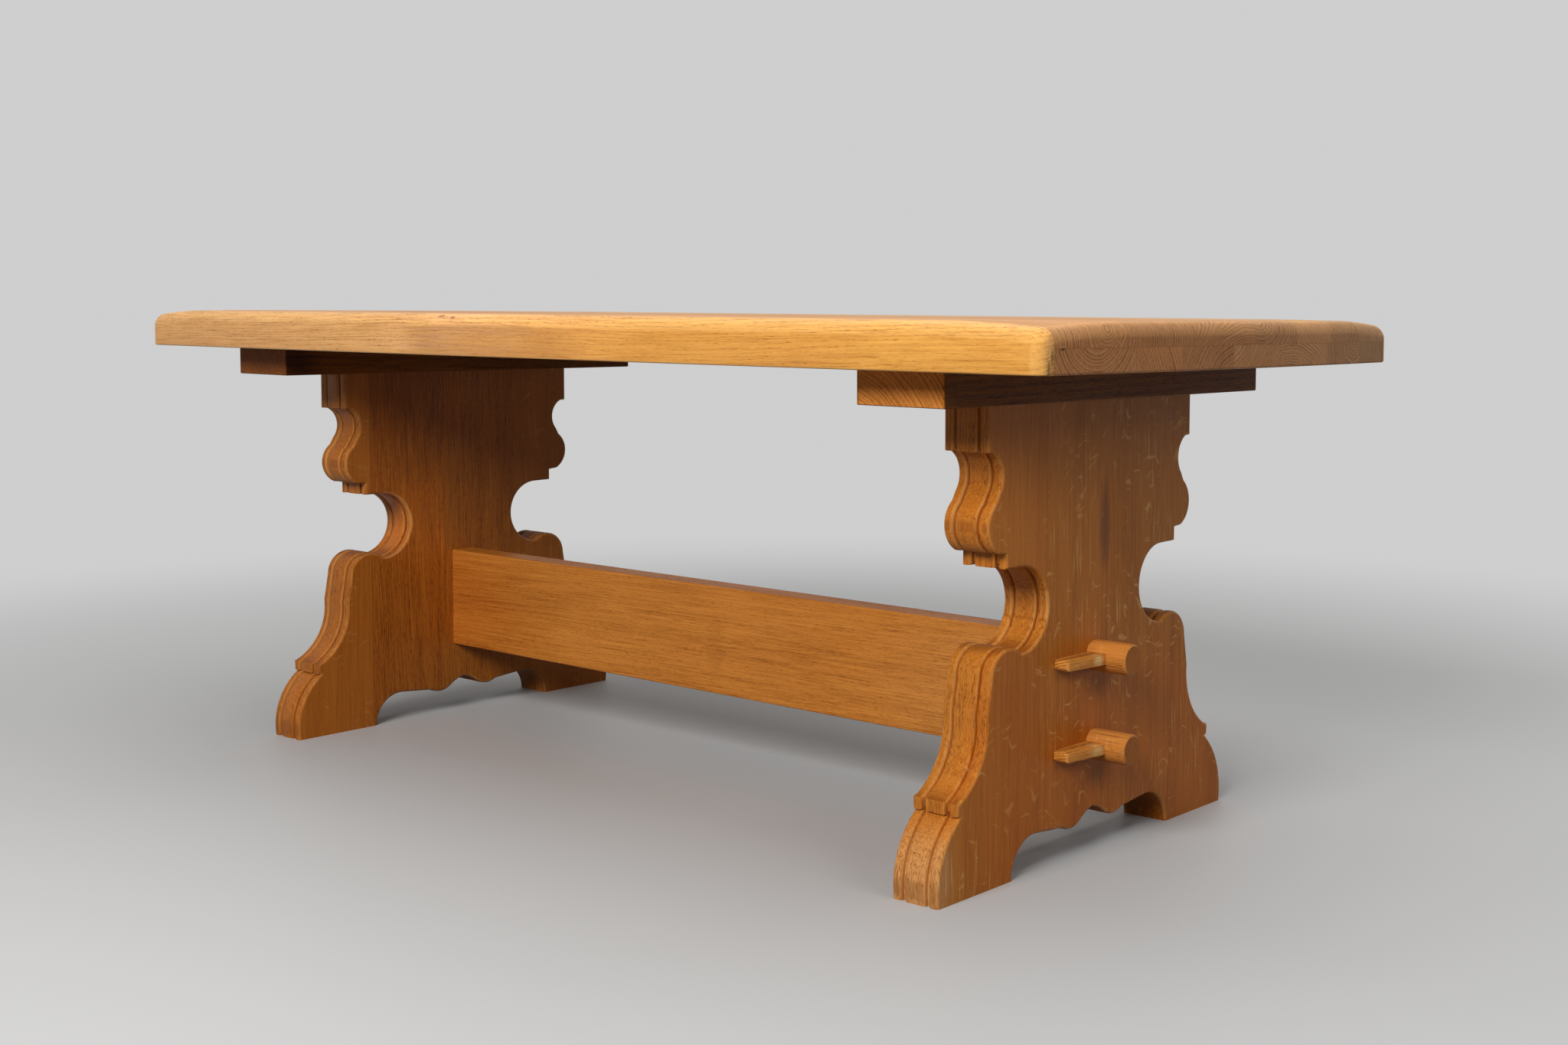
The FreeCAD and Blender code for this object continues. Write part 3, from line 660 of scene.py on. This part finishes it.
def mouldedBoard(node):
    low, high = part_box(node)
    seams = gluedSeams(node)
    bm = mergedCopy(node)
    cornerNumber = bm.verts.layers.int.new("corner")
    rubSheen = bm.verts.layers.float["arris"]
    # keep one face of the board
    others = [face for face in bm.faces if not all(near(vert.co.x, [low.x]) for vert in face.verts)]
    bmesh.ops.delete(bm, geom=others, context="FACES")
    bmesh.ops.dissolve_faces(bm, faces=list(bm.faces))
    face = list(bm.faces)[0]
    outline = [vert.co.copy() for vert in face.verts]
    for number, vert in enumerate(face.verts):
        vert[cornerNumber] = number
    sides = list(zip(outline, outline[1:] + outline[:1]))
    turned = 1 if sum(a.y * b.z - a.z * b.y for a, b in sides) > 0 else -1
    normals = [Vector((a.z - b.z, b.y - a.y)).normalized() * turned for a, b in sides]
    kinds = [sideKind(a, b, seams) for a, b in sides]
    tips = [number for number in range(len(outline)) if kinds[number] != kinds[number - 1]]

    # extrude it through the moulding's section
    slices = [face]
    for number, (place, moulded, plain, wornSheen) in enumerate(mouldingSection(high.x - low.x)):
        if number:
            made = bmesh.ops.extrude_face_region(bm, geom=[slices[-1]])["geom"]
            slices += [item for item in made if isinstance(item, bmesh.types.BMFace)]
        sunk = {"moulded": moulded, "plain": plain, "fixed": 0}
        depths = [sunk[kind] for kind in kinds]
        spots = []
        for corner, spot in enumerate(outline):
            move = sunkCorner(normals[corner - 1], normals[corner], depths[corner - 1], depths[corner])
            spots.append(Vector((low.x + place, spot.y + move.x, spot.z + move.y)))
        for vert in slices[-1].verts:
            spot = spots[vert[cornerNumber]]
            # a corner never crosses its board's glued edge
            if not low.y - slack["merge"] < spot.y < high.y + slack["merge"]:
                spot = min((spots[tip] for tip in tips), key=lambda tip: (tip - spot).length)
            vert.co = spot
            vert[rubSheen] = wornSheen
    bmesh.ops.delete(bm, geom=slices[1:-1], context="FACES_ONLY")
    bm.verts.layers.int.remove(cornerNumber)
    bmesh.ops.remove_doubles(bm, verts=bm.verts, dist=slack["close"])
    bmesh.ops.recalc_face_normals(bm, faces=bm.faces)
    flats = [side for side in bm.faces if abs(side.normal.x) > slack["square"] and len(side.verts) > 4]
    return finishPiece(bm, node, flats)


def easedTrestleBoard(node):
    seams = gluedSeams(node)
    bm = mergedCopy(node)
    arrises = {kind: [] for kind in trestle["planes"]}
    for edge in bm.edges:
        if len(edge.link_faces) != 2 or not bends(edge, trestle["sharp"]) or not edge.is_convex:
            continue
        ends = [vert.co for vert in edge.verts]
        onSeam = any(all(near(end.y, [seam]) for end in ends) for seam in seams)
        onTop = all(end.z > trestleTop - trestle["endSlack"] for end in ends)
        onFloor = all(end.z < trestle["endSlack"] for end in ends)
        inBore = any(all(math.hypot(end.y - y, end.z - z) < trestle["bore"] for end in ends)
                     for y, z in trestle["tenons"])
        crosses = abs(ends[0].x - ends[1].x) > trestle["level"]
        if onSeam or onTop or onFloor or inBore or crosses:
            continue
        for kind, planes in trestle["planes"].items():
            if all(near(abs(end.x), planes) for end in ends):
                arrises[kind].append(edge)
    for kind, width in (("faces", "arris"), ("reeds", "shoulder"), ("bands", "band")):
        edges = [edge for edge in arrises[kind] if edge.is_valid]
        roundEdges(bm, edges, moulding[width], moulding["steps"], False)
    markRubSheen(bm)
    bm.normal_update()
    return finishPiece(bm, node, [face for face in bm.faces if abs(face.normal.x) > slack["square"]])


for node in nodesIn("trestle_oak"):
    if node.endswith("board"):
        easedTrestleBoard(node)
    else:
        mouldedBoard(node)
print("trestle boards eased")

# Stretcher and bearers, planed with their long edges taken off
plankEase = {
    "stretcher_oak": {"width": 0.0018, "shortest": 1.0, "sharp": 60, "segments": 3},
    "bearer_oak": {"width": 0.0028, "shortest": 0.04, "sharp": 60, "segments": 3},
}


def easedPlank(node):
    ease = plankEase[slots[node]]
    bm = mergedCopy(node)
    edges = [edge for edge in bm.edges if len(edge.link_faces) == 2 and edge.is_convex
             and bends(edge, ease["sharp"]) and edge.calc_length() > ease["shortest"]]
    roundEdges(bm, edges, ease["width"], ease["segments"])
    markRubSheen(bm)
    bm.normal_update()
    flats = [face for face in bm.faces if max(abs(part) for part in face.normal) > slack["square"]]
    return finishPiece(bm, node, flats)


for node in nodesIn(*plankEase):
    easedPlank(node)
print("stretcher and bearers eased")

# Wedges, whittled to fit: a knife took the tip's edges off
wedgeEase = {"edges": 0.0012, "segments": 2, "tip": 0.004, "sharp": 15}
# each cut: how far it starts behind the tip, and which way it faces, seen from the right trestle
tipCuts = {
    "below": {"back": 0.0035, "away": (0, -0.70, -0.72)},
    "above": {"back": 0.006, "away": (0, -0.36, 0.93)},
    "outside": {"back": 0.0035, "away": (0.75, -0.66, 0)},
}


def sawn(bm, point, away):
    # keeps what lies behind the saw cut and closes it
    geometry = list(bm.verts) + list(bm.edges) + list(bm.faces)
    cut = bmesh.ops.bisect_plane(bm, geom=geometry, plane_co=point, plane_no=away, clear_outer=True,
                                 dist=slack["saw"])
    rim = [edge for edge in cut["geom_cut"] if isinstance(edge, bmesh.types.BMEdge)]
    return bmesh.ops.holes_fill(bm, edges=rim, sides=0)["faces"]


def whittledWedge(node):
    low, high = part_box(node)
    side = 1 if node.startswith("right") else -1
    tip = low.y if side == 1 else high.y
    bm = mergedCopy(node)
    outside = side * max(abs(vert.co.x) for vert in bm.verts if abs(vert.co.y - tip) < wedgeEase["tip"])
    levels = {"below": low.z, "above": high.z, "outside": low.z}
    for name, cut in tipCuts.items():
        away = Vector(cut["away"])
        sawn(bm, (outside, tip + side * cut["back"], levels[name]), (side * away.x, side * away.y, away.z))
    bm.normal_update()
    edges = [edge for edge in bm.edges if bends(edge, wedgeEase["sharp"])]
    roundEdges(bm, edges, wedgeEase["edges"], wedgeEase["segments"])
    markRubSheen(bm)
    bmesh.ops.recalc_face_normals(bm, faces=bm.faces)
    return finishPiece(bm, node)


for node in nodesIn("wedge_oak"):
    whittledWedge(node)
print("wedges whittled")

# Tabletop: one bowed and rounded slab, sawn into its upper boards and edge strips
tabletop = {
    "corner": (0.985, 0.433), "bow": (0.015, 0.017), "cuts": (53, 25), "sharp": 45, "outer": 0.449,
    "cornerRound": {"width": 0.020, "segments": 8}, "upperRound": {"width": 0.020, "segments": 8},
    "lowerRound": {"width": 0.003, "segments": 3},
    "wornCorner": {"reach": 0.16, "drop": 0.009, "depth": 0.021},
}
topUnder, topOver = [corner.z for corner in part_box("front_edge_strip")]
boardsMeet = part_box("upper_board_1")[0].z


def runsAlong(edge, axis):
    start, end = edge.verts
    return near(abs(start.co[axis] - end.co[axis]), [edge.calc_length()])


def tabletopSlab():
    reachX, reachY = tabletop["corner"]
    bm = bmesh.new()
    addLayers(bm)
    bmesh.ops.create_cube(bm, size=1.0)
    thick = topOver - topUnder
    bmesh.ops.scale(bm, vec=(2 * reachX, 2 * reachY, thick), verts=bm.verts)
    bmesh.ops.translate(bm, vec=(0, 0, topUnder + thick / 2), verts=bm.verts)
    for axis, cuts in enumerate(tabletop["cuts"]):
        edges = [edge for edge in bm.edges if runsAlong(edge, axis)]
        bmesh.ops.subdivide_edges(bm, edges=edges, cuts=cuts, use_grid_fill=True)
    for vert in bm.verts:
        shareX, shareY = vert.co.x / reachX, vert.co.y / reachY
        vert.co.x += shareX * tabletop["bow"][0] * (1 - shareY ** 2)
        vert.co.y += shareY * tabletop["bow"][1] * (1 - shareX ** 2)
    corners = [edge for edge in bm.edges
               if all(near(abs(vert.co.x), [reachX]) for vert in edge.verts)
               and all(near(abs(vert.co.y), [reachY]) for vert in edge.verts)]
    roundEdges(bm, corners, **tabletop["cornerRound"])
    for level, ease in ((topOver, "upperRound"), (topUnder, "lowerRound")):
        rim = [edge for edge in bm.edges if all(near(vert.co.z, [level]) for vert in edge.verts)
               and bends(edge, tabletop["sharp"])]
        roundEdges(bm, rim, **tabletop[ease])
    # hands wore the corners down
    wear = tabletop["wornCorner"]
    for vert in bm.verts:
        if vert.co.z > topOver - wear["depth"]:
            away = math.hypot(abs(vert.co.x) - reachX, abs(vert.co.y) - reachY)
            vert.co.z -= wear["drop"] * max(0.0, 1 - away / wear["reach"]) ** 2
    markRubSheen(bm)
    return bm


def tabletopPiece(node, slab):
    low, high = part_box(node)
    bm = slab.copy()
    flats = []
    if slots[node] == "top_oak":
        flats += sawn(bm, (0, 0, boardsMeet), (0, 0, -1))
    if low.y > -tabletop["outer"]:
        flats += sawn(bm, (0, low.y, 0), (0, -1, 0))
    if high.y < tabletop["outer"]:
        flats += sawn(bm, (0, high.y, 0), (0, 1, 0))
    bm.normal_update()
    return finishPiece(bm, node, [face for face in flats if face.is_valid])


slab = tabletopSlab()
for node in nodesIn("edge_oak", "top_oak"):
    if not node.startswith("lower_board"):
        tabletopPiece(node, slab)
slab.free()
print("tabletop boards sawn")

# Floor, pale and plain, which fades into the background and throws little light back up
stageSet = {
    "reach": 30.0, "floor": (0.50, 0.50, 0.495), "rough": 0.55, "shine": 0.25, "bounce": (0.20, 0.20, 0.20),
    "background": (0.62, 0.62, 0.62), "fade": (1.2, 3.2),
}


def seenDirectly(start):
    path = start.add("ShaderNodeLightPath").socket.node.outputs
    seen, mirrored, through = [Wire(start.tree, path[name])
                               for name in ("Is Camera Ray", "Is Glossy Ray", "Is Transmission Ray")]
    return start.maths("MINIMUM", seen + mirrored + through, 1.0)


def makeFloor():
    bm = bmesh.new()
    bmesh.ops.create_grid(bm, x_segments=1, y_segments=1, size=stageSet["reach"])
    mesh = bpy.data.meshes.new("floor")
    bm.to_mesh(mesh)
    bm.free()
    floor = bpy.data.objects.new("floor", mesh)
    scene.collection.objects.link(floor)
    material = bpy.data.materials.new("floor_paint")
    start = emptyTree(material)
    place = start.add("ShaderNodeTexCoord", output="Object")
    distance = vectorMaths("LENGTH", place, output="Value")
    paint = start.add("ShaderNodeBsdfPrincipled", None, {
        "Base Color": (*stageSet["floor"], 1), "Roughness": stageSet["rough"],
        "Specular IOR Level": stageSet["shine"]})
    dull = start.add("ShaderNodeBsdfDiffuse", None, {"Color": (*stageSet["bounce"], 1)})
    glow = start.add("ShaderNodeEmission", None, {"Color": (*stageSet["background"], 1)})
    far = smooth(distance, *stageSet["fade"])
    pale = start.add("ShaderNodeMixShader", None, {0: far, 1: paint, 2: glow})
    faded = start.add("ShaderNodeMixShader", None, {0: seenDirectly(start), 1: dull, 2: pale})
    start.add("ShaderNodeOutputMaterial", None, {"Surface": faded})
    mesh.materials.append(material)


makeFloor()

# Soft studio light: a wide panel in front, a smaller one to the right and a large one overhead
lampSet = {
    "front": {
        "place": (1.3, -4.2, 2.9), "aim": (0.1, 0.0, 0.45), "size": (2.6, 1.6), "power": 232, "glint": False},
    "side": {
        "place": (4.6, -0.6, 2.7), "aim": (0.6, 0.0, 0.4), "size": (2.0, 1.6), "power": 38, "glint": False},
    "overhead": {
        "place": (0.0, 0.8, 4.2), "aim": (0.0, 0.8, 0.0), "size": (6.0, 5.0), "power": 140, "glint": True},
}
worldLight = 0.06


def makeLamps():
    for name, lamp in lampSet.items():
        light = bpy.data.lights.new(name, "AREA")
        light.shape = "RECTANGLE"
        light.size, light.size_y = lamp["size"]
        light.energy = lamp["power"]
        holder = bpy.data.objects.new(name, light)
        holder.location = lamp["place"]
        holder.rotation_euler = (Vector(lamp["aim"]) - holder.location).to_track_quat("-Z", "Y").to_euler()
        # the panels beside the table leave no mirror image on the tabletop
        holder.visible_glossy = lamp["glint"]
        scene.collection.objects.link(holder)
    world = bpy.data.worlds.new("studio")
    start = emptyTree(world)
    glow = start.add("ShaderNodeBackground", None, {"Color": (1, 1, 1, 1), "Strength": worldLight})
    backdrop = start.add("ShaderNodeBackground", None, {
        "Color": (*stageSet["background"], 1), "Strength": 1.0})
    both = start.add("ShaderNodeMixShader", None, {0: seenDirectly(start), 1: glow, 2: backdrop})
    start.add("ShaderNodeOutputWorld", None, {"Surface": both})
    scene.world = world


makeLamps()
print("floor and lamps set")

# Camera at the photograph's own viewpoint
cameraSet = {
    "place": (2.2272, -2.1107, 0.7613), "yaw": 37.759, "tilt": 3.869, "roll": 0.432,
    "focal": 2420.6, "centre": (1308.9, 565.3), "frame": (2048, 1365), "sensor": 36.0,
}


def makeCamera():
    yaw, tilt, roll = [math.radians(cameraSet[key]) for key in ("yaw", "tilt", "roll")]
    wide, high = cameraSet["frame"]
    ahead = Vector((-math.sin(yaw) * math.cos(tilt), math.cos(yaw) * math.cos(tilt), -math.sin(tilt)))
    level = Vector((math.cos(yaw), math.sin(yaw), 0))
    upward = level.cross(ahead)
    right = level * math.cos(roll) + upward * math.sin(roll)
    top = upward * math.cos(roll) - level * math.sin(roll)
    data = bpy.data.cameras.new("camera")
    data.sensor_fit = "HORIZONTAL"
    data.sensor_width = cameraSet["sensor"]
    data.lens = cameraSet["focal"] / wide * cameraSet["sensor"]
    data.shift_x = (wide / 2 - cameraSet["centre"][0]) / wide
    data.shift_y = (cameraSet["centre"][1] - high / 2) / wide
    holder = bpy.data.objects.new("camera", data)
    turn = Matrix((right, top, -ahead)).transposed().to_4x4()
    holder.matrix_world = Matrix.Translation(cameraSet["place"]) @ turn
    scene.collection.objects.link(holder)
    scene.camera = holder


makeCamera()
